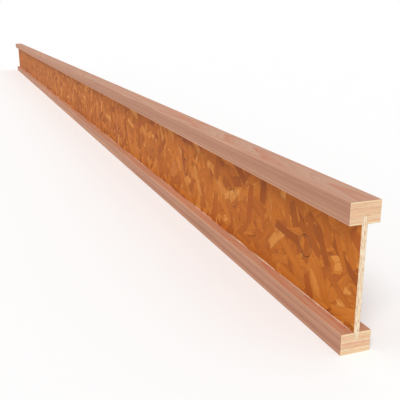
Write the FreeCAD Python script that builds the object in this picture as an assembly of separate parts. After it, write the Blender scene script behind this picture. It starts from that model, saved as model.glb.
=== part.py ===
import FreeCAD, Part
import os
from math import sin, tan

# A wooden I-joist: a laminated veneer flange above and below a thin strand-board web.
# The web's long edges are tapered tongues, pressed and glued into tapered grooves in the
# flanges. The web is a row of panels that meet in V joints, with scored knockout discs
# along its middle. The joist stands on its bottom flange. X runs across it, Y along it
# and Z up, with the origin under its centre. The near end is at -Y.

# Driving dimensions, in millimetres
JOIST_LENGTH = 5486.4          # 18 ft stock length
JOIST_DEPTH = 241.3            # 9 1/2 in, outside the flanges
FLANGE_WIDTH = 52.4            # 2 1/16 in
FLANGE_THICKNESS = 34.9        # 1 3/8 in
FLANGE_ARRIS = 1.0             # radius of a flange's eased long edges
WEB_THICKNESS = 9.5            # 3/8 in
TONGUE_DEPTH = 12.0            # how far the web enters each flange
TONGUE_TAPER = 1.65            # what each side of a tongue loses by its tip
TONGUE_TIP_RADIUS = 1.5
GLUE_POCKET = 0.7              # space for glue past a tongue's tip
GROOVE_CORNER_RADIUS = 1.0
FIRST_PANEL_LENGTH = 1524.0    # from the near end to the first web joint
PANEL_LENGTH = 2438.4          # 8 ft from one web joint to the next
JOINT_POINT = 8.0              # how far a panel's V point runs into the next panel
KNOCKOUT_DIAMETER = 38.1       # 1 1/2 in, at the middle of the score
KNOCKOUT_SPACING = 304.8       # 12 in between centres
KNOCKOUT_SCORE_WIDTH = 1.4     # at the web's face
KNOCKOUT_CORE = 3.5            # board left between the scores of the two faces

# Sizes that follow from them
NEAR_END = -JOIST_LENGTH / 2
FAR_END = JOIST_LENGTH / 2
MID_DEPTH = JOIST_DEPTH / 2
HALF_WEB = WEB_THICKNESS / 2
TONGUE_SLOPE = TONGUE_TAPER / TONGUE_DEPTH
GROOVE_DEPTH = TONGUE_DEPTH + GLUE_POCKET
SCORE_DEPTH = (WEB_THICKNESS - KNOCKOUT_CORE) / 2
OVERCUT = 5.0                  # how far a cutting shape reaches past what it cuts

UP = FreeCAD.Vector(0, 0, 1)
ALONG = FreeCAD.Vector(0, 1, 0)


def cross_section(corners):
    """The face of a closed outline in the XZ plane, from corners (x, z, rounding radius)."""
    points = [FreeCAD.Vector(x, 0, z) for x, z, radius in corners]
    arrivals, departures, bends = [], [], []
    for i, point in enumerate(points):
        back = (points[i - 1] - point).normalize()
        ahead = (points[(i + 1) % len(points)] - point).normalize()
        radius = corners[i][2]
        half_angle = back.getAngle(ahead) / 2
        setback = radius / tan(half_angle)
        arrivals.append(point + back * setback)
        departures.append(point + ahead * setback)
        inward = (back + ahead).normalize()
        bends.append(point + inward * (radius / sin(half_angle) - radius))
    edges = []
    for i, departure in enumerate(departures):
        if corners[i][2] > 0:
            edges.append(Part.Arc(arrivals[i], bends[i], departure).toShape())
        edges.append(Part.LineSegment(departure, arrivals[(i + 1) % len(points)]).toShape())
    return Part.Face(Part.Wire(edges))


def along_joist(section, start, end):
    """A bar with this cross-section from start to end along Y."""
    return section.translated(ALONG * start).extrude(ALONG * (end - start))


def bottom_flange():
    """The lower flange, with the tapered groove for the web in its upper face."""
    edge = FLANGE_WIDTH / 2
    mouth = HALF_WEB
    floor = HALF_WEB - TONGUE_SLOPE * GROOVE_DEPTH
    groove_floor = FLANGE_THICKNESS - GROOVE_DEPTH
    right_half = [
        (edge, 0, FLANGE_ARRIS),
        (edge, FLANGE_THICKNESS, FLANGE_ARRIS),
        (mouth, FLANGE_THICKNESS, 0),
        (floor, groove_floor, GROOVE_CORNER_RADIUS),
    ]
    left_half = [(-x, z, radius) for x, z, radius in reversed(right_half)]
    return along_joist(cross_section(right_half + left_half), NEAR_END, FAR_END)


def upper_twin(shape):
    """The same piece above the joist's mid-depth, upside down."""
    return shape.mirror(UP * MID_DEPTH, UP)


def web_section():
    """The web's cross-section, parallel between the flanges and tapered inside them."""
    shoulder = FLANGE_THICKNESS
    tip = FLANGE_THICKNESS - TONGUE_DEPTH
    half_tip = HALF_WEB - TONGUE_TAPER
    lower_right = [(half_tip, tip, TONGUE_TIP_RADIUS), (HALF_WEB, shoulder, 0)]
    upper_right = [(x, JOIST_DEPTH - z, radius) for x, z, radius in reversed(lower_right)]
    right_half = lower_right + upper_right
    left_half = [(-x, z, radius) for x, z, radius in reversed(right_half)]
    return cross_section(right_half + left_half)


def panel_joints():
    """Where the web panels meet, along Y. A joint needs room for its point and the next."""
    joints = []
    joint = NEAR_END + FIRST_PANEL_LENGTH
    while joint + 2 * JOINT_POINT < FAR_END:
        joints.append(joint)
        joint += PANEL_LENGTH
    return joints


def v_line(y, point):
    """Plan view of a panel's end, across the web from left to right."""
    reach = HALF_WEB + OVERCUT
    return [(-reach, y), (-HALF_WEB, y), (0, y + point), (HALF_WEB, y), (reach, y)]


def panel_plan(start, end, first, last):
    """A prism as deep as the joist over one panel's plan, square where the joist is cut."""
    start_line = v_line(start, 0 if first else JOINT_POINT)
    end_line = v_line(end, 0 if last else JOINT_POINT)
    outline = start_line + end_line[::-1]
    corners = [FreeCAD.Vector(x, y, 0) for x, y in outline]
    plan = Part.Face(Part.makePolygon(corners + corners[:1]))
    return plan.extrude(UP * JOIST_DEPTH)


def knockout_centres():
    """Places of the knockouts along Y, half a spacing in from the near end."""
    count = int(JOIST_LENGTH // KNOCKOUT_SPACING)
    return [NEAR_END + KNOCKOUT_SPACING * (i + 0.5) for i in range(count)]


def knockout_score(y):
    """The V-shaped ring cut into both faces of the web round one knockout."""
    radius = KNOCKOUT_DIAMETER / 2
    half_width = KNOCKOUT_SCORE_WIDTH / 2
    ring_section = [
        (HALF_WEB - SCORE_DEPTH, radius),
        (HALF_WEB, radius + half_width),
        (HALF_WEB + OVERCUT, radius + half_width),
        (HALF_WEB + OVERCUT, radius - half_width),
        (HALF_WEB, radius - half_width),
    ]
    corners = [FreeCAD.Vector(x, y, MID_DEPTH + r) for x, r in ring_section]
    centre = FreeCAD.Vector(0, y, MID_DEPTH)
    across = FreeCAD.Vector(1, 0, 0)
    right = Part.Face(Part.makePolygon(corners + corners[:1])).revolve(centre, across, 360)
    return [right, right.mirror(centre, across)]


def web_panels():
    """The web's panels, from the near end to the far end."""
    section = web_section()
    bounds = [NEAR_END] + panel_joints() + [FAR_END]
    knockout_reach = KNOCKOUT_DIAMETER / 2 + KNOCKOUT_SCORE_WIDTH
    panels = []
    for i, (start, end) in enumerate(zip(bounds, bounds[1:])):
        first, last = i == 0, i == len(bounds) - 2
        far_tip = end if last else end + JOINT_POINT
        panel = along_joist(section, start, far_tip)
        if len(bounds) > 2:
            panel = panel.common(panel_plan(start, end, first, last))
        scores = []
        for y in knockout_centres():
            if start - knockout_reach < y < far_tip + knockout_reach:
                scores += knockout_score(y)
        panels.append(panel.cut(scores) if scores else panel)
    return panels


def export(shape, node):
    """Writes one closed solid as a node of the joist."""
    solid = shape.Solids[0]
    if len(shape.Solids) != 1 or not solid.isValid():
        raise ValueError(node + " is not one sound solid")
    solid.exportStep("parts/" + node + ".step")


os.makedirs("parts", exist_ok=True)
lower = bottom_flange()
export(lower, "bottom_flange")
export(upper_twin(lower), "top_flange")
for number, panel in enumerate(web_panels(), start=1):
    export(panel, "web_panel_" + str(number))
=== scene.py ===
import bmesh
import bpy
import math
import numpy as np
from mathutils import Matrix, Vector, noise
from mathutils.geometry import delaunay_2d_cdt


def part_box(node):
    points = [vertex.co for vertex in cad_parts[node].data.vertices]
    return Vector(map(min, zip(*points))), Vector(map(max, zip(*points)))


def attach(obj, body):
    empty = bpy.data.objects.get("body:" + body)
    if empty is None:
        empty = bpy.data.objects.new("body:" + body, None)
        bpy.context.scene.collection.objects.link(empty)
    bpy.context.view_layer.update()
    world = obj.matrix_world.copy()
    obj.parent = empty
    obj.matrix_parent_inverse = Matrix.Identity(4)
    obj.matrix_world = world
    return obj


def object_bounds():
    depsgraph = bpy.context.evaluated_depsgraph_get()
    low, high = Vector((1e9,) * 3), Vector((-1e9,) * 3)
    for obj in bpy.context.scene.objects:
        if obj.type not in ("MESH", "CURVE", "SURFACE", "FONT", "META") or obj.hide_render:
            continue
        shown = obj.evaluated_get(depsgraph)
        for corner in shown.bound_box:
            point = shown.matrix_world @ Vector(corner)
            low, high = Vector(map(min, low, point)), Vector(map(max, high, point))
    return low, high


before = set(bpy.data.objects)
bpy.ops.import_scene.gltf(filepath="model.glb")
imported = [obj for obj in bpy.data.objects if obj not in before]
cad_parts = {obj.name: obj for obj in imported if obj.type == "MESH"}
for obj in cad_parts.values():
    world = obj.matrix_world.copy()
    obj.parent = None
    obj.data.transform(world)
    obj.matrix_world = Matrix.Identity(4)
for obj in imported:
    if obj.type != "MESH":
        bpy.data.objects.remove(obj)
cad_low, cad_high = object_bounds()

# Sizes read from the frame, in metres
PANELS = sorted(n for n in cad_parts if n.startswith("web_panel_"))
NEAR_END = cad_low.y
FAR_END = cad_high.y
HALF_WIDTH = cad_high.x
DEPTH = cad_high.z
LOWER_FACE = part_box("bottom_flange")[1].z    # heights of the flanges' faces at the web
UPPER_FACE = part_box("top_flange")[0].z
FLANGE_THICKNESS = LOWER_FACE
HALF_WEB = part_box(PANELS[0])[1].x
WEB_JOINTS = [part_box(panel)[0].y for panel in PANELS[1:]]    # as seen on the web's faces
TOLERANCE = 1e-6             # a smaller difference is none
CLEAR = 1e-5                 # a point further off than this doesn't lie on a face

# Veneer lumber
PLIES = 11
PLY = FLANGE_THICKNESS / PLIES
SHEET_LENGTH = 2.44          # a veneer sheet, from one scarf to the next
SCARF_RUN = 0.022            # length of the slope where two sheets meet
SCARF_STEP = 0.13            # from a joint in one ply to the joint in the next ply up
SAW_PITCH = 0.0041           # between the marks of the saw's teeth
PLY_WANDER = 0.9             # how far the noise moves a ply, in plies
PLY_GROOVE = 0.0001          # depth of the open glue lines on the sides
PLY_PROUD = 0.00004          # how far one ply's edge may stand out past another's
KNOT_SPACING = 0.62
KNOT_RARITY = 0.72           # share of the places that have no knot
VENEER_BUMP = 0.0006         # depth of the finest relief, which the materials hold
STRAND_BUMP = 0.00045
GLUE_BUMP = 0.0004
FIBRE_BUMP = 0.0002
KEY_STEP = 131.0             # sets apart the pairs of whole numbers that chance is asked for


def srgb(red, green, blue, alpha=1.0):
    """A colour from its usual 0 to 255 values, in the linear light that materials use."""
    def linear(value):
        share = value / 255
        return share / 12.92 if share <= 0.04045 else ((share + 0.055) / 1.055) ** 2.4
    return (linear(red), linear(green), linear(blue), alpha)


class Value:
    """A number, vector or colour that nodes work out. Arithmetic on it adds nodes."""

    def __init__(self, graph, socket):
        self.graph = graph
        self.socket = socket

    def __add__(self, other):
        return self.graph.math("ADD", self, other)

    def __sub__(self, other):
        return self.graph.math("SUBTRACT", self, other)

    def __rsub__(self, other):
        return self.graph.math("SUBTRACT", other, self)

    def __mul__(self, other):
        return self.graph.math("MULTIPLY", self, other)

    def __truediv__(self, other):
        return self.graph.math("DIVIDE", self, other)

    def __pow__(self, other):
        return self.graph.math("POWER", self, other)

    def __gt__(self, other):
        return self.graph.math("GREATER_THAN", self, other)

    def __lt__(self, other):
        return self.graph.math("LESS_THAN", self, other)

    __radd__ = __add__
    __rmul__ = __mul__

    def floor(self):
        return self.graph.math("FLOOR", self)

    def fraction(self):
        return self.graph.math("FRACT", self)

    def size(self):
        return self.graph.math("ABSOLUTE", self)

    def least(self, other):
        return self.graph.math("MINIMUM", self, other)

    def most(self, other):
        return self.graph.math("MAXIMUM", self, other)

    def span(self, low, high, to_low=0.0, to_high=1.0):
        """Goes smoothly from to_low to to_high as this goes from low to high."""
        made = self.graph.node("ShaderNodeMapRange", {"interpolation_type": "SMOOTHSTEP"})
        for i, value in enumerate((self, low, high, to_low, to_high)):
            self.graph.feed(made.inputs[i], value)
        return Value(self.graph, made.outputs[0])


class Graph:
    """One material's nodes."""

    split_colour = "ShaderNodeSeparateColor"

    def __init__(self, name):
        self.material = bpy.data.materials.new(name)
        self.material.use_nodes = True
        self.tree = self.material.node_tree
        self.tree.nodes.clear()

    def feed(self, socket, value):
        if isinstance(value, Value):
            self.tree.links.new(value.socket, socket)
        else:
            socket.default_value = value

    def node(self, kind, settings=None, inputs=None):
        made = self.tree.nodes.new(kind)
        for name, value in (settings or {}).items():
            setattr(made, name, value)
        for name, value in (inputs or {}).items():
            self.feed(made.inputs[name], value)
        return made

    def math(self, operation, *values):
        made = self.node("ShaderNodeMath", {"operation": operation})
        for i, value in enumerate(values):
            self.feed(made.inputs[i], value)
        return Value(self, made.outputs[0])

    def place(self):
        """The point in the joist's frame, as x, y and z."""
        made = self.node("ShaderNodeTexCoord")
        split = self.node("ShaderNodeSeparateXYZ", inputs={0: Value(self, made.outputs["Object"])})
        return [Value(self, out) for out in split.outputs]

    def facing(self):
        """How far the surface faces along X, Y and Z, each from 0 to 1."""
        made = self.node("ShaderNodeNewGeometry")
        split = self.node("ShaderNodeSeparateXYZ", inputs={0: Value(self, made.outputs["Normal"])})
        return [Value(self, out).size() for out in split.outputs]

    def vector(self, x, y, z=0.0):
        made = self.node("ShaderNodeCombineXYZ", inputs={0: x, 1: y, 2: z})
        return Value(self, made.outputs[0])

    def noise(self, vector, detail=2.0, roughness=0.5, distortion=0.0):
        made = self.node("ShaderNodeTexNoise", inputs={
            "Vector": vector, "Scale": 1.0, "Detail": detail,
            "Roughness": roughness, "Distortion": distortion})
        return Value(self, made.outputs[0])

    def noise_along(self, place, detail, roughness):
        """Smooth noise along one number."""
        made = self.node("ShaderNodeTexNoise", {"noise_dimensions": "1D"}, {
            "W": place, "Scale": 1.0, "Detail": detail, "Roughness": roughness})
        return Value(self, made.outputs[0])

    def chance(self, whole, other_whole, seed):
        """Three unrelated numbers from 0 to 1 for each pair of whole numbers and each seed."""
        key = whole + other_whole * KEY_STEP + seed
        made = self.node("ShaderNodeTexWhiteNoise", {"noise_dimensions": "1D"}, {"W": key})
        split = self.node(self.split_colour, inputs={0: Value(self, made.outputs["Color"])})
        return [Value(self, out) for out in split.outputs[:3]]

    def mix(self, share, first, second):
        made = self.node("ShaderNodeMix", {"data_type": "RGBA"})
        for i, value in ((0, share), (6, first), (7, second)):
            self.feed(made.inputs[i], value)
        return Value(self, made.outputs[2])

    def shade(self, colour, amount):
        """The colour made darker or lighter by a factor."""
        made = self.node("ShaderNodeVectorMath", {"operation": "SCALE"})
        self.feed(made.inputs[0], colour)
        self.feed(made.inputs["Scale"], amount)
        return Value(self, made.outputs[0])

    def blend_numbers(self, share, first, second):
        made = self.node("ShaderNodeMix", {"data_type": "FLOAT"})
        for i, value in ((0, share), (2, first), (3, second)):
            self.feed(made.inputs[i], value)
        return Value(self, made.outputs[0])

    def ramp(self, value, stops):
        """A colour for the value, from stops (place, colour)."""
        made = self.node("ShaderNodeValToRGB", inputs={0: value})
        elements = made.color_ramp.elements
        while len(elements) < len(stops):
            elements.new(1.0)
        for element, (place, colour) in zip(elements, stops):
            element.position = place
            element.color = colour
        return Value(self, made.outputs[0])

    def finish(self, colour, roughness, height, relief, specular=0.35):
        """Ends in one shader, with the height in shares of the relief, a depth in metres."""
        bump = self.node("ShaderNodeBump", inputs={
            "Strength": 1.0, "Distance": relief, "Height": height})
        shader = self.node("ShaderNodeBsdfPrincipled", inputs={
            "Base Color": colour, "Roughness": roughness, "Specular IOR Level": specular,
            "Normal": Value(self, bump.outputs[0])})
        output = self.node("ShaderNodeOutputMaterial")
        self.tree.links.new(shader.outputs[0], output.inputs["Surface"])
        return self.material


class ShapeGraph(Graph):
    """Nodes that move a mesh's points, by the same sums as a material's."""

    split_colour = "FunctionNodeSeparateColor"

    def __init__(self, name):
        self.tree = bpy.data.node_groups.new(name, "GeometryNodeTree")
        for way in ("INPUT", "OUTPUT"):
            self.tree.interface.new_socket("mesh", in_out=way, socket_type="NodeSocketGeometry")

    def place(self):
        """The point in the joist's frame, as x, y and z."""
        made = self.node("GeometryNodeInputPosition")
        split = self.node("ShaderNodeSeparateXYZ", inputs={0: Value(self, made.outputs[0])})
        return [Value(self, out) for out in split.outputs]

    def finish(self, chosen, shift):
        """Ends by moving the chosen points by this vector."""
        start = self.node("NodeGroupInput")
        moved = self.node("GeometryNodeSetPosition", inputs={
            "Geometry": Value(self, start.outputs[0]), "Selection": chosen, "Offset": shift})
        end = self.node("NodeGroupOutput")
        self.tree.links.new(moved.outputs[0], end.inputs[0])
        return self.tree


def ply_sway(g, x, y, z, base, seed):
    """How far a flange's plies wander off their level here, in plies. The outer faces don't."""
    depth = (z - base).least(base + FLANGE_THICKNESS - z)
    wander = g.noise(g.vector(x * 14, y * 1.3, seed), 1.0) - 0.5
    return wander * PLY_WANDER * depth.span(0.0, 2 * PLY)


def ply_edges(name, base, seed):
    """Sets the rows of points on a flange's sides to its plies, with grooves between them."""
    g = ShapeGraph(name)
    x, y, z = g.place()
    level = (z - base) / PLY
    in_ply = level.fraction()
    open_here = g.noise(g.vector(x * 40, y * 9, z * 700 + seed), 2.0).span(0.4, 0.65)
    groove = (1.0 - in_ply.least(1.0 - in_ply).span(0.0, 0.1)) * open_here * PLY_GROOVE
    proud = g.chance(level.floor(), 0.0, seed + 1.5)[0] * PLY_PROUD
    outward = (x > 0.0) * 2.0 - 1.0
    sway = ply_sway(g, x, y, z, base, seed)
    return g.finish(x.size() > HALF_WIDTH, g.vector(outward * (proud - groove), 0.0, sway * -PLY))


def veneer_lumber(name, base, first_scarf, seed):
    """Laminated veneer: broad peeled grain on the outer plies, ply edges on sides and ends.

    base is the height of the lowest ply's underside, and first_scarf the place of a joint
    between two sheets in it, along the joist.
    """
    g = Graph(name)
    x, y, z = g.place()
    facing_y, facing_z = g.facing()[1:]
    on_face = facing_z.span(0.5, 0.9)
    on_end = facing_y.span(0.5, 0.9)

    # Which ply and which sheet of it this is
    level = (z - base) / PLY + ply_sway(g, x, y, z, base, seed)
    ply = level.floor().most(0.0).least(PLIES - 1)
    in_ply = level - ply
    ply_phase, ply_tilt = g.chance(ply, 0.0, seed + 3.5)[:2]
    run = (y - first_scarf - ply * SCARF_STEP + in_ply * SCARF_RUN) / SHEET_LENGTH
    sheet = run.floor()
    tone, hue, density = g.chance(sheet, ply, seed)
    scarf = (run.fraction() * SHEET_LENGTH).least((1.0 - run.fraction()) * SHEET_LENGTH)
    scarf_line = 1.0 - scarf.span(0.0004, 0.0012)

    # Small knots in the outer plies, which the rings flow round
    stretch = (y / KNOT_SPACING).floor()
    knot_x, knot_y, knot_size = g.chance(stretch, ply, seed + 7.5)
    from_x = x - (knot_x - 0.5) * HALF_WIDTH * 1.5
    from_y = (y - (stretch + 0.2 + 0.6 * knot_y) * KNOT_SPACING) * 0.5
    knot_reach = (from_x * from_x + from_y * from_y) ** 0.5 / (0.002 + 0.0035 * knot_size)
    knot_here = knot_size > KNOT_RARITY
    knot = (1.0 - knot_reach.span(0.75, 1.25)) * knot_here
    swirl = (1.0 - knot_reach.span(0.5, 6.0)) * knot_here

    # Growth rings as a peeled sheet shows them: long arches on its face
    arches = g.noise(g.vector(x * 13, y * 0.8, tone * 40 + seed), 1.0)
    ripple = g.noise(g.vector(x * 60, y * 5, hue * 40 + seed), 2.0)
    ring_place = arches * 13 + ripple * 0.9 + x * 50 * (ply_tilt - 0.5) + swirl * 2.6
    face_late = ring_place.fraction() ** 3.0
    fine_grain = (ring_place * 4.3).fraction() ** 2.0
    # and lines along the ply on its edge
    edge_wave = g.noise(g.vector(x * 20, y * 1.6, ply * 3.1 + seed), 1.5)
    edge_rings = in_ply * (0.5 + 1.4 * density) + edge_wave * 2.2 + ply_phase * 7
    edge_late = edge_rings.fraction() ** 2.2

    # Fibres: fine streaks along the joist, and their cut ends
    streaks = g.noise(g.vector(x * 900, y * 7, z * 900), 3.0, 0.65)
    broad_streaks = g.noise(g.vector(x * 220, y * 1.8, z * 260), 2.0)
    pores = g.noise(g.vector(x * 1500, y * 60, z * 1500), 2.0, 0.6)
    blotches = g.noise(g.vector(x * 9, y * 1.7, z * 12), 3.0, 0.55)

    face_early = g.mix(tone, srgb(213, 165, 134), srgb(201, 150, 120))
    face_early = g.mix(hue.span(0.5, 1.0) * 0.5, face_early, srgb(206, 166, 144))
    face_early = g.mix(blotches.span(0.5, 0.75) * 0.5, face_early, srgb(217, 150, 112))
    face_colour = g.mix(fine_grain * 0.3, face_early, srgb(172, 116, 92))
    face_colour = g.mix(face_late * 0.66, face_colour, srgb(200, 110, 74))
    face_colour = g.mix(knot * 0.8, face_colour, srgb(122, 66, 42))
    side_early = g.mix(tone, srgb(219, 169, 136), srgb(196, 140, 113))
    side_colour = g.mix(edge_late * 0.5, side_early, srgb(170, 100, 80))

    # The sawn ends are the palest: fresh-cut wood, made paler still by painted light, with pink
    # bands that fade in and out
    pink_cloud = g.noise(g.vector(x * 24, y * 3, z * 200 + seed), 2.0, 0.5, 0.9)
    pink = pink_cloud.span(0.5, 0.68)
    outermost = (ply < 0.5).most(ply > PLIES - 1.5)
    end_early = g.mix(tone, srgb(252, 224, 180), srgb(246, 204, 164))
    end_early = g.mix(hue.span(0.6, 0.9), end_early, srgb(238, 184, 154))
    pale = (1.0 - hue.span(0.12, 0.24)) * (1.0 - pink_cloud.span(0.44, 0.6))
    end_early = g.mix(pale, end_early, srgb(254, 232, 192))
    end_early = g.mix(pink * 0.5, end_early, srgb(232, 160, 132))
    end_early = g.mix(outermost * 0.75, end_early, srgb(255, 231, 182))
    end_colour = g.mix(edge_late * 0.34, end_early, srgb(224, 148, 116))
    # Dark pinholes: painted shade in tiny holes in the end grain
    pinholes = g.noise(g.vector(x * 330, y * 330, z * 330), 1.0).span(0.79, 0.82)
    end_colour = g.mix(pinholes * 0.7, end_colour, srgb(120, 72, 48))
    edge_colour = g.mix(on_end, side_colour, end_colour)

    # Glue lines between the plies
    to_glue = in_ply.least(1.0 - in_ply)
    glue_width = 0.04 + 0.08 * density
    glue_line = 1.0 - (to_glue / glue_width).span(0.4, 1.0)
    # Dark open gaps along the sides' fibres: painted shade in them; the bump sinks them too
    gap = (streaks.span(0.62, 0.8) * (1.0 - on_end)) * 0.5
    glue_colour = g.mix(on_end, srgb(140, 84, 62), srgb(206, 138, 108))
    glue_share = g.blend_numbers(on_end, 0.65, 0.15 + 0.4 * density)
    edge_colour = g.mix(glue_line * glue_share, edge_colour, glue_colour)
    edge_colour = g.mix(gap, edge_colour, srgb(120, 70, 50))
    colour = g.mix(on_face, edge_colour, face_colour)
    colour = g.mix(scarf_line * 0.6 * (1.0 - on_end), colour, srgb(138, 86, 62))

    # Wear: arrises rubbed paler, faint handling grime; a pale rim round the sawn ends is painted
    # highlight
    to_side = HALF_WIDTH - x.size()
    to_face = (z - base).size().least((base + FLANGE_THICKNESS - z).size())
    # Pale rim round the sawn ends' edges, used on the ends only: painted highlight
    rim = 1.0 - to_side.least(to_face).span(0.0004, 0.0014 + 0.0018 * pink_cloud)
    arris = (1.0 - to_side.most(to_face).span(0.0006, 0.0028)) * blotches.span(0.4, 0.62)
    colour = g.mix(arris * 0.45, colour, srgb(232, 196, 160))
    colour = g.mix(rim * on_end * 0.5, colour, srgb(254, 230, 186))
    grime = g.noise(g.vector(x * 30, y * 2.6, z * 30 + 9), 4.0, 0.6).span(0.55, 0.8)
    colour = g.mix(grime * 0.3 * (1.0 - on_end), colour, srgb(150, 112, 90))
    fibre = 0.88 + 0.24 * g.blend_numbers(on_end, streaks, pores)
    broad = 0.93 + 0.14 * broad_streaks
    mottle = 0.94 + 0.12 * blotches
    colour = g.shade(colour, fibre * broad * mottle)

    late = g.blend_numbers(on_face, edge_late, face_late)
    height = late * 0.35 + streaks * 0.5 - glue_line * 0.2 * (1.0 - on_face)
    height = height - scarf_line * 0.8 - gap + knot * on_face * 0.5
    roughness = 0.62 + 0.16 * streaks - 0.1 * late
    return g.finish(colour, roughness, height, VENEER_BUMP)


# Strand board
STRAND_CELL = (0.112, 0.025)       # the space one strand has, along it and across it
STRAND_ANGLES = (5, -17, 30, -42, 62, -80)    # degrees from the joist's length
SPLINTER = 0.0026                  # width of the splinters at a strand's ends
SPLINTER_REACH = 0.024
STRAND_SKEW = 0.2                  # how far a strand may turn from its layer's angle, as a slope
STRAND_BEND = 0.014
STRAND_RISE = 0.00025              # from the lowest strand's level to the highest
STRAND_SLOPE = 0.003               # width of the slope along a strand's edge
LAYER_SEED = 1.37                  # sets each layer of strands apart from the next
SIDE_SEED = 5.3                    # and the web's one side from the other


def strand_seed(number):
    """Sets the strands of one panel apart from those of the others."""
    return 11.0 * number + 2.0


def key_of(row, column):
    """A number that sets one strand's noise apart from its neighbours'."""
    return row * 31.7 + column * 173.9


def strand_layer(g, y, z, angle, seed):
    """One layer of strands that all lie near one angle.

    Gives the rank of the strand at this point, 0 where there is none, its tone and hue, the
    point's place along and across the strand, and its distance from the strand's edge.
    """
    length, width = STRAND_CELL
    along, across = math.cos(math.radians(angle)), math.sin(math.radians(angle))
    b = (z * along - y * across + seed * 0.61) / width
    row = b.floor()
    shift = g.chance(row, 0.0, seed + 0.25)[0]
    a = (y * along + z * across + seed) / length + shift
    column = a.floor()
    rank, tone, hue = g.chance(column, row, seed)
    long, wide, skew = g.chance(column, row, seed + 0.5)
    u = (a - column - 0.5) * length
    v = (b - row - 0.5) * width - u * (skew - 0.5) * STRAND_SKEW
    splinters = g.noise_along(v / SPLINTER + (u > 0.0) * 9.7 + key_of(row, column), 2.0, 0.75)
    to_end = length * (0.38 + 0.15 * long) - u.size() - splinters * SPLINTER_REACH
    to_side = width * (0.26 + 0.22 * wide) - v.size()
    margin = to_end.least(to_side)
    return (0.02 + rank * 0.98) * (margin > 0.0), tone, hue, u + row, v, margin


def strand_layers(g, y, z, side):
    """All layers of strands, which are a little bent, on the side of the web with this number."""
    bend = g.noise(g.vector(y * 11, z * 11, side), 1.0)
    bent_y = y + (bend - 0.5) * STRAND_BEND
    bent_z = z + (bend - 0.5) * STRAND_BEND
    return [strand_layer(g, bent_y, bent_z, angle, side + number * LAYER_SEED)
            for number, angle in enumerate(STRAND_ANGLES)]


def strand_rise(name, seed):
    """Raises the strands on a board's faces, each to its own level with a slope at its edge."""
    g = ShapeGraph(name)
    x, y, z = g.place()
    rise = 0.0
    for strand in strand_layers(g, y, z, (x > 0.0) * SIDE_SEED + seed):
        rank, margin = strand[0], strand[-1]
        rise = (rank * margin.span(0.0, STRAND_SLOPE)).most(rise)
    outward = (x > 0.0) * 2.0 - 1.0
    return g.finish(x.size() > HALF_WEB, g.vector(outward * rise * STRAND_RISE, 0.0))


def strand_board(name, seed):
    """Pressed wood strands: overlapping on the faces, and their thin ends on cut edges."""
    g = Graph(name)
    x, y, z = g.place()
    on_face = g.facing()[0].span(0.6, 0.9)
    side = (x > 0.0) * SIDE_SEED + seed

    # The strand that ranks highest of all layers shows
    shown = (0.01, 0.35, 0.3, y, z, 0.01)
    for found in strand_layers(g, y, z, side):
        above = found[0] > shown[0]
        shown = [g.blend_numbers(above, old, new) for old, new in zip(shown, found)]
    rank, tone, hue, along, across, margin = shown

    fibres = g.noise(g.vector(along * 18, across * 1100, tone * 60), 4.0, 0.7)
    bands = g.noise(g.vector(along * 7, across * 130, hue * 60), 2.0, 0.5)
    figure = (bands * (5 + 5 * hue)).fraction() ** 2.4
    # The strands' own amber tone, made darker and more orange: partly painted shade and orange
    # bounced light
    face = g.ramp(tone, [
        (0.0, srgb(162, 82, 20)), (0.12, srgb(184, 98, 26)), (0.5, srgb(202, 113, 31)),
        (0.85, srgb(214, 127, 42)), (1.0, srgb(228, 152, 72))])
    face = g.mix(hue.span(0.86, 1.0) * 0.55, face, srgb(176, 84, 32))
    face = g.mix(bands.span(0.52, 0.7) * 0.25, face, srgb(160, 82, 24))
    face = g.mix(figure * 0.4, face, srgb(150, 74, 22))
    face = g.shade(face, 0.78 + 0.5 * fibres)
    clouds = g.noise(g.vector(y * 5, z * 9, side), 3.0, 0.6)
    face = g.shade(face, 0.9 + 0.2 * clouds)
    # Darker along each strand's edge: partly resin, partly painted shade where it steps down to
    # the strand below
    rim = 1.0 - margin.span(0.0, 0.0012)
    face = g.shade(face, 1.0 - 0.25 * rim)
    specks = g.noise(g.vector(y * 190, z * 190, side), 3.0, 0.7).span(0.7, 0.77)
    face = g.mix(specks * 0.6, face, srgb(92, 52, 30))

    # Cut edges: strands seen end on, as thin lines with small voids
    flow = g.noise(g.vector(x * 60, y * 26, z * 26), 1.0) - 0.5
    layers = g.noise(g.vector(x * 1500 + flow * 5, y * 60, z * 60), 2.0, 0.6)
    flecks = g.noise(g.vector(x * 620, y * 90, z * 90 + 4), 3.0, 0.65)
    edge = g.ramp(layers, [
        (0.3, srgb(226, 190, 148)), (0.48, srgb(246, 224, 190)), (0.7, srgb(254, 242, 216))])
    edge = g.mix(flecks.span(0.54, 0.62) * 0.75, edge, srgb(214, 146, 104))
    # Small voids, dark with painted shade; the bump sinks them too
    voids = flecks.span(0.66, 0.73)
    edge = g.mix(voids * 0.9, edge, srgb(140, 88, 56))

    # The scored rings are cuts in the face, in shadow and singed by the cutter
    in_middle = 1.0 - (z - DEPTH / 2).size().span(0.024, 0.026)
    off_ends = (FAR_END - y.size()).span(0.001, 0.002)
    scored = in_middle * off_ends * (1.0 - on_face)
    edge = g.mix(scored * 0.85, edge, srgb(110, 64, 36))

    colour = g.mix(on_face, edge, face)
    face_height = rank * 0.5 + fibres * 0.22 - specks * 0.3
    edge_height = layers * 0.6 - voids * 1.2
    height = g.blend_numbers(on_face, edge_height, face_height)
    roughness = g.blend_numbers(on_face, 0.8, 0.56 + 0.2 * fibres)
    return g.finish(colour, roughness, height, STRAND_BUMP, 0.22)


def glue(name):
    """Dried adhesive, pale and slightly glossy."""
    g = Graph(name)
    x, y, z = g.place()
    cloud = g.noise(g.vector(x * 160, y * 34, z * 160), 3.0, 0.6)
    colour = g.ramp(cloud, [
        (0.3, srgb(196, 156, 128)), (0.5, srgb(222, 190, 160)), (0.7, srgb(236, 214, 188))])
    return g.finish(colour, 0.35 + 0.25 * cloud, cloud, GLUE_BUMP, 0.5)


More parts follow.
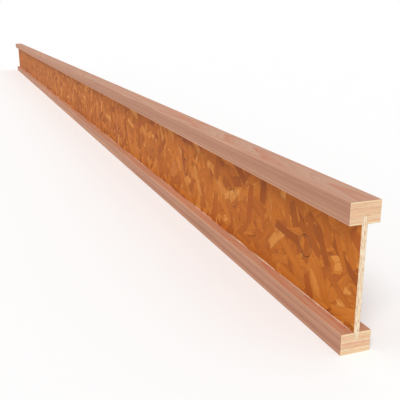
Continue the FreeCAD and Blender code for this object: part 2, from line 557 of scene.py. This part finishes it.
def torn_fibres(name):
    """Fresh pale wood, where the saw tore it."""
    g = Graph(name)
    x, y, z = g.place()
    streak = g.noise(g.vector(x * 1800, y * 1800, z * 700), 2.0, 0.6)
    colour = g.ramp(streak, [(0.3, srgb(226, 188, 142)), (0.6, srgb(250, 230, 194))])
    return g.finish(colour, 0.7 + 0.2 * streak, streak, FIBRE_BUMP, 0.2)


def dress(node, material):
    """Gives a CAD node its material."""
    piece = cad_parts[node]
    piece.data.materials.clear()
    piece.data.materials.append(material)


def new_piece(name, vertices, faces, material, smooth=True):
    """A closed mesh that belongs to the joist and moves with it."""
    mesh = bpy.data.meshes.new(name)
    mesh.from_pydata(vertices, [], faces)
    shape = bmesh.new()
    shape.from_mesh(mesh)
    bmesh.ops.recalc_face_normals(shape, faces=shape.faces)
    shape.to_mesh(mesh)
    shape.free()
    mesh.materials.append(material)
    mesh.polygons.foreach_set("use_smooth", [smooth] * len(mesh.polygons))
    piece = bpy.data.objects.new(name, mesh)
    bpy.context.scene.collection.objects.link(piece)
    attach(piece, "root")
    return piece


def reshape(piece, shape):
    """Moves a piece's points by shape nodes, for good."""
    piece.modifiers.new("shape", "NODES").node_group = shape
    plain = piece.data
    shaped = piece.evaluated_get(bpy.context.evaluated_depsgraph_get())
    piece.data = bpy.data.meshes.new_from_object(shaped)
    piece.modifiers.clear()
    bpy.data.meshes.remove(plain)
    piece.data.set_sharp_from_angle(angle=SHARP_ANGLE)


def tube_faces(faces, first, sides, steps):
    """Adds a tube's faces, over rings of points that begin at the first one."""
    for i in range(steps):
        for j in range(sides):
            a = first + i * sides + j
            b = first + i * sides + (j + 1) % sides
            faces.append((a, b, b + sides, a + sides))


def closed_tube(faces, first, sides, steps):
    """Adds such a tube's faces and its two ends."""
    tube_faces(faces, first, sides, steps)
    for ring in (0, steps):
        faces.append([first + ring * sides + j for j in range(sides)])


EMBED = 0.0004               # how far the back of what lies on the wood sits inside it
SHARP_ANGLE = math.radians(40)

# Glue that squeezed out
BEAD_STEP = 0.006            # from one ring of points to the next, along a bead
FIRST_BEAD = (0.002, 0.03)   # least and greatest distance from the near end
BEAD_LENGTH = (0.05, 0.42)
BEAD_GAP = (0.01, 0.14)
BEAD_SIZE = (0.0008, 0.0018)
THINNEST_BEAD = 0.00012
JOINT_STEP = 0.003
JOINT_LINE = 0.0005          # half the width of the glue line between two panels
JOINT_PROUD = 0.0002         # how far that line stands out of the web's faces
JOINT_CLEARANCE = 0.001      # from its ends to the flanges
GLUE_BULGE = 0.0001          # how far the film in a groove stands out of the joist's ends


def bead_runs(rng):
    """Where one corner's glue squeezed out: (start, end, size) along the joist."""
    runs = []
    y = NEAR_END + rng.uniform(*FIRST_BEAD)
    while y < FAR_END - BEAD_LENGTH[0]:
        end = min(y + rng.uniform(*BEAD_LENGTH), FAR_END - FIRST_BEAD[0])
        runs.append((y, end, rng.uniform(*BEAD_SIZE)))
        y = end + rng.uniform(*BEAD_GAP)
    return runs


def glue_beads(material):
    """The uneven beads of glue in the four corners between web and flanges."""
    rng = np.random.default_rng(11)
    vertices, faces = [], []
    corners = [(side, level, up) for side in (-1, 1)
               for level, up in ((LOWER_FACE, 1), (UPPER_FACE, -1))]
    for side, level, up in corners:
        for start, end, size in bead_runs(rng):
            steps = max(int((end - start) / BEAD_STEP), 4)
            closed_tube(faces, len(vertices), 5, steps)
            for i in range(steps + 1):
                share = i / steps
                y = start + (end - start) * share
                swell = 1 + 0.5 * noise.noise(Vector((y * 46, side * 3.7, level * 50)))
                swell += 0.35 * noise.noise(Vector((y * 210, side * 9.1, level * 20)))
                radius = size * swell * max(math.sin(math.pi * share), 0.0) ** 0.35
                radius = max(radius, THINNEST_BEAD)
                profile = [(-EMBED, -EMBED), (-EMBED, radius), (radius * 0.38, radius * 0.62),
                           (radius * 0.8, radius * 0.3), (radius * 1.15, -EMBED)]
                for out, rise in profile:
                    vertices.append((side * (HALF_WEB + out), y, level + up * rise))
    return new_piece("glue_beads", vertices, faces, material)


def joint_glue(material):
    """A thin uneven line of glue down each joint between web panels, on both faces."""
    rng = np.random.default_rng(23)
    low, high = LOWER_FACE + JOINT_CLEARANCE, UPPER_FACE - JOINT_CLEARANCE
    steps = int((high - low) / JOINT_STEP)
    vertices, faces = [], []
    for y in WEB_JOINTS:
        for side in (-1, 1):
            offset = rng.uniform(0, 50)
            closed_tube(faces, len(vertices), 4, steps)
            for i in range(steps + 1):
                z = low + (high - low) * i / steps
                swell = 1 + 0.9 * noise.noise(Vector((z * 85, offset, 0)))
                swell += 0.4 * noise.noise(Vector((z * 420, offset, 7)))
                half = JOINT_LINE * max(swell, 0.25)
                middle = y + 0.0004 * noise.noise(Vector((z * 40, offset, 3)))
                proud = JOINT_PROUD + 0.45 * half
                for along, out in ((-half, -EMBED), (-0.5 * half, proud * 0.8),
                                   (0.4 * half, proud), (half, -EMBED)):
                    vertices.append((side * (HALF_WEB + out), middle + along, z))
    return new_piece("joint_glue", vertices, faces, material)


# Sawn ends
GRID = 0.00045               # spacing of the points on a sawn end
GRID_SEED = 5
UNEVEN = 0.2                 # how far a grid's points are off their places, in spacings
MERGE = 1e-9                 # points nearer than this become one
SLAB_BACK = 0.0001           # how far a sawn surface's back lies inside the wood
SLAB_SLOPE = 0.00014         # how far its rim slopes inwards from back to front
SLAB_FRONT = 0.00016         # how far its middle level stands out of the plain end
ROUGHNESS = 0.00001          # the unit of its relief


def outlines(node, axis, level):
    """The outlines of a node's flat faces that lie at this level along X (0) or Y (1).

    Each is an array of points in order round it, by their other coordinate and their z.
    """
    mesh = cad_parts[node].data
    count = {}
    for polygon in mesh.polygons:
        corners = [mesh.vertices[i].co for i in polygon.vertices]
        if all(abs(corner[axis] - level) < TOLERANCE for corner in corners):
            points = [(round(corner[1 - axis], 6), round(corner.z, 6)) for corner in corners]
            for pair in zip(points, points[1:] + points[:1]):
                key = tuple(sorted(pair))
                count[key] = count.get(key, 0) + 1
    neighbours = {}
    for (a, b), times in count.items():
        if times == 1:
            neighbours.setdefault(a, []).append(b)
            neighbours.setdefault(b, []).append(a)
    loops = []
    while neighbours:
        loop = [min(neighbours)]
        ahead = neighbours[loop[0]][0]
        while ahead != loop[0]:
            came_from = loop[-1]
            loop.append(ahead)
            ahead = [point for point in neighbours[ahead] if point != came_from][0]
        for point in loop:
            del neighbours[point]
        loops.append(np.array(loop))
    return loops


def divide(loop, spacing):
    """The outline with points added, so that none are further apart than the spacing."""
    points = []
    for a, b in zip(loop, np.roll(loop, -1, axis=0)):
        parts = max(math.ceil(math.dist(a, b) / spacing - TOLERANCE), 1)
        points += [a + (b - a) * i / parts for i in range(parts)]
    return np.array(points)


def is_inside(points, starts, ends):
    """Whether each point lies inside the outlines that have these edges, and not in a hole."""
    u, v = points[:, :1], points[:, 1:]
    (start_u, start_v), (end_u, end_v) = starts.T, ends.T
    crosses = (start_v > v) != (end_v > v)
    run = np.where(end_v == start_v, 1.0, end_v - start_v)
    left_of = u < start_u + (v - start_v) * (end_u - start_u) / run
    return (crosses & left_of).sum(axis=1) % 2 == 1


def grid_inside(starts, ends, spacing):
    """Points of a slightly uneven grid that lie inside the outlines, clear of their points."""
    rng = np.random.default_rng(GRID_SEED)
    low, high = starts.min(axis=0), starts.max(axis=0)
    lowest, highest = np.minimum(starts, ends)[:, 1], np.maximum(starts, ends)[:, 1]
    columns, rows = np.round((high - low) / spacing).astype(int)
    found = []
    for row in range(1, rows):
        places = np.array([(column, row) for column in range(1, columns)], float)
        points = low + (places + rng.uniform(-UNEVEN, UNEVEN, places.shape)) * spacing
        level = low[1] + row * spacing
        near = (lowest < level + 2 * spacing) & (highest > level - 2 * spacing)
        apart = np.hypot(points[:, :1] - starts[near, 0], points[:, 1:] - starts[near, 1])
        clear = apart.min(axis=1) > spacing * 0.5
        found.append(points[clear & is_inside(points, starts[near], ends[near])])
    return np.concatenate(found)


def plate(name, loops, spacing, front, back, material):
    """A thin closed mesh inside outlines, the first of them the outer one.

    front and back give the place of a point from its two coordinates. front is also told
    whether it is a point of the grid, which only the front has.
    """
    starts = np.concatenate(loops)
    ends = np.concatenate([np.roll(loop, -1, axis=0) for loop in loops])
    rim = [Vector(point) for point in starts]
    grid = [Vector(point) for point in grid_inside(starts, ends, spacing)]
    ring = []
    for loop in loops:
        first = len(ring)
        ring += [(first + i, first + (i + 1) % len(loop)) for i in range(len(loop))]
    whole = [list(range(len(loops[0])))]
    vertices, faces = [], []
    for points, place in ((rim, back), (rim + grid, front)):
        made, _, triangles = delaunay_2d_cdt(points, ring, whole, 1, MERGE)[:3]
        edged = [t for t in triangles if max(t) < len(rim)]
        holes = set()
        if edged:
            middles = np.array([sum((made[i] for i in t), Vector((0, 0))) / 3 for t in edged])
            inside = is_inside(middles, starts, ends)
            holes = {tuple(t) for t, kept in zip(edged, inside) if not kept}
        first = len(vertices)
        faces += [[first + i for i in t] for t in triangles if tuple(t) not in holes]
        vertices += [place(u, v, i >= len(rim)) for i, (u, v) in enumerate(made)]
    faces += [(a, b, len(rim) + b, len(rim) + a) for a, b in ring]
    return new_piece(name, vertices, faces, material)


def ply_relief(x, z, y):
    """Height of a sawn flange end: plies and rings cut to slightly different levels."""
    sway = noise.noise(Vector((x * 30, z * 8, y)))
    level = z / PLY + 0.3 * sway
    ply = math.floor(level)
    step = noise.cell(Vector((ply * 7.1, y, 0.5)))
    seam = min(level - ply, 1 - level + ply)
    rings = noise.noise(Vector((x * 70, z * 2600, y + ply)))
    fibres = noise.noise(Vector((x * 1300, z * 1300, y)))
    saw = math.sin((x * 0.35 + z) * 2 * math.pi / SAW_PITCH + 3 * sway)
    groove = 5 if seam < 0.09 else 0
    return (4 * step + 4 * rings + 3 * fibres + 1.5 * saw - groove) * ROUGHNESS


def strand_relief(x, z, y):
    """Height of a sawn web end: layers of strand ends, with small voids between them."""
    drift = noise.noise(Vector((x * 60, z * 30, y)))
    layers = noise.noise(Vector((x * 1700 + 3 * drift, z * 60, y)))
    crumbs = noise.noise(Vector((x * 900, z * 500, y + 5)))
    void = max(noise.noise(Vector((x * 700, z * 140, y + 9))) - 0.34, 0)
    return (5 * layers + 4 * crumbs - 60 * void) * ROUGHNESS


def sawn_end(node, end, y, outward, material, relief):
    """The rough surface that the saw left over one node's end."""
    loops = [divide(loop, GRID * 1.3) for loop in outlines(node, 1, y)]
    low, high = loops[0].min(axis=0), loops[0].max(axis=0)
    middle = (low + high) / 2
    smaller = 1 - 2 * SLAB_SLOPE / (high - low)

    def front(x, z, in_grid):
        if in_grid:
            return (x, y + outward * (SLAB_FRONT + relief(x, z, y)), z)
        x, z = middle + (np.array((x, z)) - middle) * smaller
        return (x, y + outward * SLAB_FRONT, z)

    def back(x, z, in_grid):
        return (x, y - outward * SLAB_BACK, z)

    return plate(node + "_" + end + "_end", loops, GRID, front, back, material)


# Strands on the web's faces
FACE_GRID = 0.0026           # spacing of the points on a face
LONGEST_STRETCH = 1.6        # a longer face is made in equal stretches
FACE_FRONT = 0.00003         # how far the lowest level stands out of the plain face
JOINT_GAP = 0.0003           # from the end of a panel's face to the joint


def strand_face(name, node, side, start, end, material, shape):
    """The pressed strands of one stretch of a panel's face."""
    def front(y, z, in_grid):
        return (side * (HALF_WEB + FACE_FRONT), y, z)

    def back(y, z, in_grid):
        return (side * (HALF_WEB - EMBED), y, z)

    low, high = LOWER_FACE - EMBED, UPPER_FACE + EMBED
    corners = np.array([(start, low), (end, low), (end, high), (start, high)])
    scores = [loop for loop in outlines(node, 0, side * HALF_WEB)
              if np.ptp(loop[:, 1]) < DEPTH / 4 and start < loop[:, 0].mean() < end]
    loops = [divide(corners, FACE_GRID)] + scores
    reshape(plate(name, loops, FACE_GRID, front, back, material), shape)


def strand_faces(materials):
    """Both faces of every panel, in stretches."""
    bounds = [NEAR_END] + WEB_JOINTS + [FAR_END]
    for i, (node, material) in enumerate(zip(PANELS, materials)):
        start = bounds[i] + (JOINT_GAP if i > 0 else 0)
        end = bounds[i + 1] - (JOINT_GAP if i < len(PANELS) - 1 else 0)
        shape = strand_rise(node + "_rise", strand_seed(i))
        count = math.ceil((end - start) / LONGEST_STRETCH)
        places = [start + (end - start) * j / count for j in range(count + 1)]
        for j in range(count):
            for side, word in ((-1, "left"), (1, "right")):
                name = "%s_%s_strands_%d" % (node, word, j + 1)
                strand_face(name, node, side, places[j], places[j + 1], material, shape)


# The flanges' long faces
PLY_ROWS = (0.0, 0.12, 0.5, 0.88)    # levels of the points on a side, in each ply
PLY_STEP = 0.03              # from one ring of points to the next, along the joist
PLY_FRONT = 0.00003          # how far these faces stand out of the plain ones
STRETCHES = 4                # along each flange


def flange_section(flange, base):
    """A flange's outline from one edge of its groove to the other, with points at each ply."""
    loop = outlines(flange, 1, NEAR_END)[0].tolist()
    in_groove = [abs(x) < HALF_WEB - CLEAR for x, z in loop]
    last = [i for i in range(len(loop)) if in_groove[i - 1] and not in_groove[i]][0]
    loop = [point for point in loop[last:] + loop[:last] if abs(point[0]) > HALF_WEB - CLEAR]
    levels = [base + (ply + row) * PLY for ply in range(PLIES) for row in PLY_ROWS]
    points = loop[:1]
    for (x, z), (next_x, next_z) in zip(loop, loop[1:]):
        if x == next_x:
            low, high = sorted((z, next_z))
            rows = [(x, level) for level in levels if low + EMBED < level < high - EMBED]
            points += rows if next_z > z else rows[::-1]
        points.append((next_x, next_z))
    return points


def veneer_faces(flange, base, material, shape):
    """A thin shell round a flange, with the plies' edges on its sides, in stretches."""
    middle = base + FLANGE_THICKNESS / 2
    outline = flange_section(flange, base)
    shell = []
    for out, points in ((PLY_FRONT, outline), (-EMBED, outline[::-1])):
        wide, high = 1 + out / HALF_WIDTH, 1 + 2 * out / FLANGE_THICKNESS
        shell += [(x * wide, middle + (z - middle) * high) for x, z in points]
    count = len(outline)
    run = (FAR_END - NEAR_END) / STRETCHES
    steps = round(run / PLY_STEP)
    for number in range(STRETCHES):
        start = NEAR_END + number * run
        vertices = [(x, start + run * i / steps, z) for i in range(steps + 1) for x, z in shell]
        faces = []
        tube_faces(faces, 0, len(shell), steps)
        for ring in (0, steps * len(shell)):
            faces += [(ring + i, ring + i + 1, ring + 2 * count - 2 - i, ring + 2 * count - 1 - i)
                      for i in range(count - 1)]
        name = "%s_veneers_%d" % (flange, number + 1)
        reshape(new_piece(name, vertices, faces, material), shape)


def groove_glue(material):
    """The film of glue between each tongue's tip and the bottom of its groove."""
    vertices, faces = [], []
    for flange, face in (("bottom_flange", LOWER_FACE), ("top_flange", UPPER_FACE)):
        groove = [(x, z) for x, z in outlines(flange, 1, NEAR_END)[0].tolist()
                  if abs(x) < HALF_WEB - CLEAR]
        tongue = [(x, z) for x, z in outlines(PANELS[0], 1, NEAR_END)[0].tolist()
                  if CLEAR < abs(z - face) < FLANGE_THICKNESS]
        section = sorted(groove) + sorted(tongue, reverse=True)
        closed_tube(faces, len(vertices), len(section), 1)
        for y in (NEAR_END - GLUE_BULGE, FAR_END + GLUE_BULGE):
            vertices += [(x, y, z) for x, z in section]
    return new_piece("groove_glue", vertices, faces, material, smooth=False)


# Torn fibres at the sawn ends
EDGE_SPLINTERS = 44          # on one edge
FLANGE_REACH = (0.0006, 0.0034)    # scale and greatest value of their lengths
WEB_REACH = (0.0003, 0.0016)
ROOT_DEPTH = 0.0001          # how far a root lies inside the wood
OUT_LEAN = 0.12              # how far they point out of the end, as a slope
LOWEST_EDGE = 0.0006         # height of the splinters near the underside
TURNS = (0.0, 2.1, 4.2)      # where the root's three points lie round it


def splinter(vertices, faces, root, tip, half):
    """Adds one thin sliver of wood from its root to its tip."""
    first = len(vertices)
    run = (tip - root).normalized()
    across = run.cross(Vector((0, 1, 0))).normalized()
    around = run.cross(across)
    for turn in TURNS:
        vertices.append(root + (across * math.cos(turn) + around * math.sin(turn) * 0.4) * half)
    vertices.append(tip)
    faces += [(first + i, first + (i + 1) % 3, first + 3) for i in range(3)]
    faces.append((first, first + 1, first + 2))


def saw_splinters(material):
    """Fibres torn out along the lower edges of the flange ends and the sides of the web."""
    rng = np.random.default_rng(31)
    vertices, faces = [], []
    for y, outward in ((NEAR_END, -1), (FAR_END, 1)):
        for edge_z, hang in ((UPPER_FACE, -1.0), (LOWEST_EDGE, 0.0)):
            for x in rng.uniform(-0.95, 0.95, EDGE_SPLINTERS) * HALF_WIDTH:
                reach = min(rng.gamma(2.0, FLANGE_REACH[0]), FLANGE_REACH[1])
                height = edge_z + rng.uniform(0.0001, 0.0004)
                root = Vector((x, y - outward * ROOT_DEPTH, height))
                sideways, down = rng.normal(0, 0.3), hang * rng.uniform(0.6, 1.0)
                lean = Vector((sideways, outward * OUT_LEAN, down))
                if hang == 0.0:
                    lean.x = math.copysign(1.0, lean.x)
                if abs(x) > HALF_WEB + 0.001:
                    half = rng.uniform(0.0001, 0.0003)
                    splinter(vertices, faces, root, root + lean * reach, half)
        for z in rng.uniform(LOWER_FACE + 0.003, UPPER_FACE - 0.003, EDGE_SPLINTERS):
            side = rng.choice((-1.0, 1.0))
            reach = min(rng.gamma(2.0, WEB_REACH[0]), WEB_REACH[1])
            root = Vector((side * (HALF_WEB - ROOT_DEPTH), y - outward * ROOT_DEPTH, z))
            lean = Vector((side, outward * OUT_LEAN, rng.normal(0, 0.8)))
            half = rng.uniform(0.0001, 0.00025)
            splinter(vertices, faces, root, root + lean * reach, half)
    return new_piece("saw_splinters", vertices, faces, material, smooth=False)


# Camera: where the photo was taken from, turned to the joist
CAMERA_PLACE = Vector((-0.516, NEAR_END - 0.705, 0.492))
CAMERA_AIM = Vector((-0.075, NEAR_END + 0.47, 0.12))
SENSOR = 36.0
LENS = 56.0


def camera():
    """Looks along the joist from its near end."""
    data = bpy.data.cameras.new("camera")
    data.sensor_width = SENSOR
    data.lens = LENS
    data.clip_start = 0.01
    data.clip_end = 200.0
    holder = bpy.data.objects.new("camera", data)
    bpy.context.scene.collection.objects.link(holder)
    holder.location = CAMERA_PLACE
    holder.rotation_mode = "QUATERNION"
    holder.rotation_quaternion = (CAMERA_AIM - CAMERA_PLACE).to_track_quat("-Z", "Y")
    bpy.context.scene.camera = holder


FLOOR_REACH = 60.0
FLOOR_SHADE = 0.86
FLOOR_GLOW = 0.16            # lifts the lit floor to the backdrop's white


def floor():
    """A plain pale floor that keeps the joist's shadow."""
    g = Graph("floor")
    diffuse = g.node("ShaderNodeBsdfDiffuse", inputs={"Color": (FLOOR_SHADE,) * 3 + (1.0,)})
    glow = g.node("ShaderNodeEmission", inputs={
        "Color": (1.0, 1.0, 1.0, 1.0), "Strength": FLOOR_GLOW})
    seen = g.node("ShaderNodeAddShader")
    g.tree.links.new(diffuse.outputs[0], seen.inputs[0])
    g.tree.links.new(glow.outputs[0], seen.inputs[1])
    path = g.node("ShaderNodeLightPath")
    pick = g.node("ShaderNodeMixShader")
    g.tree.links.new(path.outputs["Is Camera Ray"], pick.inputs[0])
    g.tree.links.new(diffuse.outputs[0], pick.inputs[1])
    g.tree.links.new(seen.outputs[0], pick.inputs[2])
    output = g.node("ShaderNodeOutputMaterial")
    g.tree.links.new(pick.outputs[0], output.inputs["Surface"])
    mesh = bpy.data.meshes.new("floor")
    r = FLOOR_REACH
    mesh.from_pydata([(-r, -r, 0), (r, -r, 0), (r, r, 0), (-r, r, 0)], [], [(0, 1, 2, 3)])
    mesh.materials.append(g.material)
    plane = bpy.data.objects.new("floor", mesh)
    bpy.context.scene.collection.objects.link(plane)


SKY_LIGHT = 0.62
SUN_LIGHT = 1.5
SUN_SPREAD = 24.0            # degrees across, for a soft shadow
SUN_FROM = Vector((-0.62, -0.85, 1.15))


def lights():
    """An even pale sky, seen as white, and a soft sun."""
    world = bpy.data.worlds.new("world")
    bpy.context.scene.world = world
    world.use_nodes = True
    tree = world.node_tree
    tree.nodes.clear()
    path = tree.nodes.new("ShaderNodeLightPath")
    strength = tree.nodes.new("ShaderNodeMix")
    strength.inputs[2].default_value = SKY_LIGHT
    strength.inputs[3].default_value = 1.0
    tree.links.new(path.outputs["Is Camera Ray"], strength.inputs[0])
    background = tree.nodes.new("ShaderNodeBackground")
    background.inputs["Color"].default_value = (1.0, 1.0, 1.0, 1.0)
    tree.links.new(strength.outputs[0], background.inputs["Strength"])
    output = tree.nodes.new("ShaderNodeOutputWorld")
    tree.links.new(background.outputs[0], output.inputs["Surface"])
    sun = bpy.data.lights.new("sun", "SUN")
    sun.energy = SUN_LIGHT
    sun.angle = math.radians(SUN_SPREAD)
    holder = bpy.data.objects.new("sun", sun)
    bpy.context.scene.collection.objects.link(holder)
    holder.rotation_mode = "QUATERNION"
    holder.rotation_quaternion = SUN_FROM.to_track_quat("Z", "Y")


camera()
floor()
lights()
veneers = {}
for flange, base, first_scarf, seed in (
        ("bottom_flange", 0.0, -1.75, 17.0), ("top_flange", UPPER_FACE, -2.0, 41.0)):
    veneers[flange] = veneer_lumber(flange + "_veneers", base, first_scarf, seed)
    dress(flange, veneers[flange])
    veneer_faces(flange, base, veneers[flange], ply_edges(flange + "_plies", base, seed))
strands = [strand_board(panel + "_strands", strand_seed(i)) for i, panel in enumerate(PANELS)]
for panel, material in zip(PANELS, strands):
    dress(panel, material)
for end, y, outward, panel in (("near", NEAR_END, -1, 0), ("far", FAR_END, 1, -1)):
    for flange, material in veneers.items():
        sawn_end(flange, end, y, outward, material, ply_relief)
    sawn_end(PANELS[panel], end, y, outward, strands[panel], strand_relief)
strand_faces(strands)
dried_glue = glue("dried_glue")
glue_beads(dried_glue)
joint_glue(dried_glue)
groove_glue(dried_glue)
saw_splinters(torn_fibres("torn_fibres"))

scene = bpy.context.scene
scene.view_settings.view_transform = "Standard"
